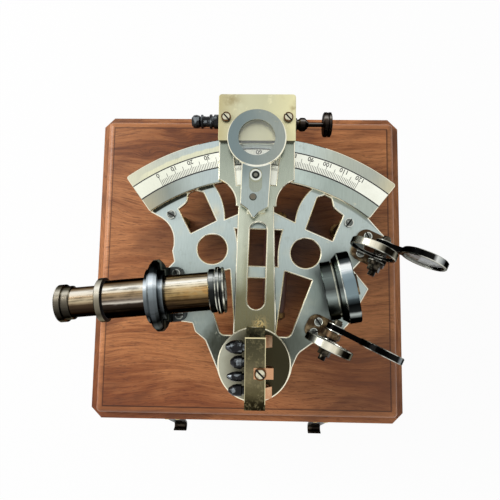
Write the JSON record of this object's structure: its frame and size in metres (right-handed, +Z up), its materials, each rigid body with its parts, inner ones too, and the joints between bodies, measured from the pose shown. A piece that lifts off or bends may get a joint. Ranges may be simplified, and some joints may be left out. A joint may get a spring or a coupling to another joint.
{
  "type": "sextant in a hinged wooden box",
  "caption": "Hinged wooden storage box with swing hasps and a felt lining, its marine sextant standing on the lid, with a swinging index arm, shades and a telescope.",
  "frame": {"origin": "centre of the box's underside", "axes": "+Z up, +Y from the latches towards the hinges, +X to the right seen from the latches"},
  "size_m": [0.2127, 0.2372, 0.201],
  "materials": {
    "rosewood": "waxed, dark streaks along the grain",
    "felt": "green baize",
    "patinated_brass": "pale silvery patina with bright worn edges",
    "arm_brass": "worn, slightly green",
    "tube_brass": "bronzed, darkened",
    "screw_brass": "golden, worn",
    "dark_brass": "dark patina",
    "silvered_scale": "satin silvered, engraved and filled black",
    "gunmetal": "dark, polished",
    "blackened": "black lacquered metal",
    "copper": "copper coloured spring strip",
    "lens_glass": "clear",
    "shade_glass": "grey neutral",
    "silvering": "silvered glass"
  },
  "bodies": {
    "box": {"box_front_wall": "rosewood", "box_back_wall": "rosewood", "box_side_walls": "rosewood", "box_floor": "rosewood", "floor_lining": "felt", "cradle_blocks": "rosewood", "hinge_lower_leaves": "screw_brass", "hinge_pins": "screw_brass", "latch_catches": "screw_brass", "box_screws": "screw_brass"},
    "lid": {"lid_panel": "rosewood", "lid_rim": "rosewood", "lid_lining": "felt", "hinge_upper_leaves": "screw_brass", "latch_plates": "screw_brass", "latch_pins": "screw_brass", "lid_screws": "screw_brass"},
    "latch_left": {"latch_left_hasp": "dark_brass"},
    "latch_right": {"latch_right_hasp": "dark_brass"},
    "sextant": {"frame": "patinated_brass", "arc_limb": "patinated_brass", "arc_scale": "silvered_scale", "legs": "screw_brass", "handle_grip": "rosewood", "handle_posts": "screw_brass", "telescope_stand": "gunmetal", "telescope_tube": "tube_brass", "objective_ring": "gunmetal", "objective_lens": "lens_glass", "horizon_stand": "dark_brass", "horizon_ring": "gunmetal", "horizon_mirror": "silvering", "shade_stands": "dark_brass", "shade_pins": "dark_brass", "frame_screws": "dark_brass"},
    "index_arm": {"index_arm": "arm_brass", "vernier_block": "arm_brass", "vernier_scale": "silvered_scale", "index_disc": "patinated_brass", "index_mirror_bracket": "arm_brass", "index_mirror": "silvering", "mirror_clips": "copper", "mirror_adjusters": "blackened", "pivot_bolt": "screw_brass", "arm_screws": "screw_brass"},
    "tangent_screw": {"tangent_screw": "dark_brass"},
    "clamp_screw": {"clamp_screw": "screw_brass"},
    "magnifier": {"magnifier_arm": "patinated_brass", "magnifier_lens": "lens_glass"},
    "eyepiece": {"draw_tube": "tube_brass", "eyepiece_cup": "tube_brass", "eye_lens": "lens_glass"},
    "horizon_shade_upright": {"horizon_shade_upright": "silvered_scale", "horizon_glass_upright": "shade_glass"},
    "horizon_shade_folded": {"horizon_shade_folded": "blackened", "horizon_glass_folded": "shade_glass"},
    "index_shade_upright": {"index_shade_upright": "silvered_scale", "index_glass_upright": "shade_glass"},
    "index_shade_folded": {"index_shade_folded": "blackened", "index_glass_folded": "shade_glass"}
  },
  "joints": [
    {"name": "lid_hinge", "type": "hinge", "parent": "box", "child": "lid", "pos_m": [0, 0.1086, 0.08], "axis": [-1, 0, 0], "range_deg": [0, 105]},
    {"name": "latch_left_swing", "type": "hinge", "parent": "lid", "child": "latch_left", "pos_m": [-0.0515, -0.109, 0.0863], "axis": [-1, 0, 0], "range_deg": [-23, 90]},
    {"name": "latch_right_swing", "type": "hinge", "parent": "lid", "child": "latch_right", "pos_m": [0.0515, -0.109, 0.0863], "axis": [-1, 0, 0], "range_deg": [-23, 90]},
    {"name": "sextant_lift", "type": "slide", "parent": "lid", "child": "sextant", "axis": [0, 0, 1], "range_m": [0, 0.12]},
    {"name": "index_arm_swing", "type": "hinge", "parent": "sextant", "child": "index_arm", "pos_m": [0.0056, -0.0586, 0.1563], "axis": [0, 0, 1], "range_deg": [-29, 27]},
    {"name": "tangent_screw_spin", "type": "hinge", "parent": "index_arm", "child": "tangent_screw", "pos_m": [0.02818, 0.08312, 0.1503], "axis": [1, 0.0009, 0], "continuous": true},
    {"name": "clamp_screw_turn", "type": "hinge", "parent": "index_arm", "child": "clamp_screw", "pos_m": [-0.01723, 0.08458, 0.1503], "axis": [-1, -0.0009, 0], "range_deg": [-540, 360]},
    {"name": "magnifier_slide", "type": "slide", "parent": "index_arm", "child": "magnifier", "axis": [-0.0009, 1, 0], "range_m": [0, 0.006]},
    {"name": "eyepiece_focus", "type": "slide", "parent": "sextant", "child": "eyepiece", "axis": [-0.9951, -0.0985, 0], "range_m": [-0.0095, 0.012]},
    {"name": "horizon_shade_upright_swing", "type": "hinge", "parent": "sextant", "child": "horizon_shade_upright", "pos_m": [0.07339, 0.0003, 0.1643], "axis": [-0.4171, -0.9089, 0], "range_deg": [-100, 0]},
    {"name": "horizon_shade_folded_swing", "type": "hinge", "parent": "sextant", "child": "horizon_shade_folded", "pos_m": [0.07706, 0.00829, 0.1643], "axis": [-0.4171, -0.9089, 0], "range_deg": [-20, 71]},
    {"name": "index_shade_upright_swing", "type": "hinge", "parent": "sextant", "child": "index_shade_upright", "pos_m": [0.04614, -0.04597, 0.1643], "axis": [-0.4329, -0.9015, 0], "range_deg": [-95, 0]},
    {"name": "index_shade_folded_swing", "type": "hinge", "parent": "sextant", "child": "index_shade_folded", "pos_m": [0.04995, -0.03804, 0.1643], "axis": [-0.4329, -0.9015, 0], "range_deg": [-6, 84]}
  ]
}
